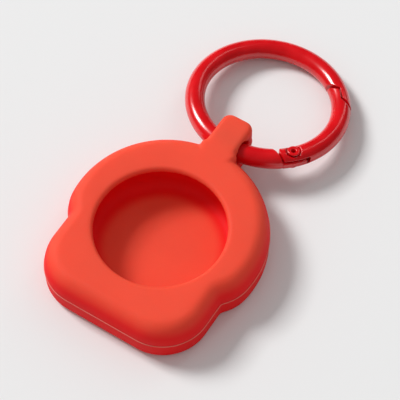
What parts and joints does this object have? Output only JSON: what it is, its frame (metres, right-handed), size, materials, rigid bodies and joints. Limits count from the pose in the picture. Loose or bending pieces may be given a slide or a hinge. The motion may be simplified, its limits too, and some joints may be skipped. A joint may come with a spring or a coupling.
{
  "type": "tracker tag key ring holder",
  "caption": "Soft moulded holder with a round snap-in pocket and a strap loop, hung on a round spring-gate key ring.",
  "frame": {"origin": "centre of the pocket on the holder's flat back face", "axes": "+Z out of the pocket's mouth, +Y from the pocket to the strap loop and the ring, +X across"},
  "size_m": [0.0436, 0.083, 0.0102],
  "materials": {
    "silicone": "matte soft-touch red-orange silicone",
    "red_paint": "gloss red enamel on zinc alloy",
    "spring_steel": "bare drawn wire and turned pin"
  },
  "bodies": {
    "holder": {"silicone_case": "silicone"},
    "ring": {"ring_body": "red_paint", "gate_rivet": "red_paint"},
    "gate": {"ring_gate": "red_paint", "gate_spring": "spring_steel"},
    "plunger": {"spring_plunger": "spring_steel"}
  },
  "joints": [
    {"name": "ring_swing", "type": "hinge", "parent": "holder", "child": "ring", "pos_m": [0, 0.02645, 0.00655], "axis": [1, 0, 0], "range_deg": [-115, 145]},
    {"name": "gate_hinge", "type": "hinge", "parent": "ring", "child": "gate", "pos_m": [0.01322, 0.03175, 0.00583], "axis": [0, 0.1358, 0.9907], "range_deg": [0, 28], "stiffness_Nm_per_rad": 0.02, "springref_deg": -20.05},
    {"name": "plunger_slide", "type": "slide", "parent": "gate", "child": "plunger", "axis": [0.3173, 0.9395, -0.1288], "range_m": [0, 0.0004], "deforming": ["gate_spring"]}
  ],
  "couplings": [
    {"joint": "plunger_slide", "follows": "gate_hinge", "m_per_rad": 0.0008}
  ]
}
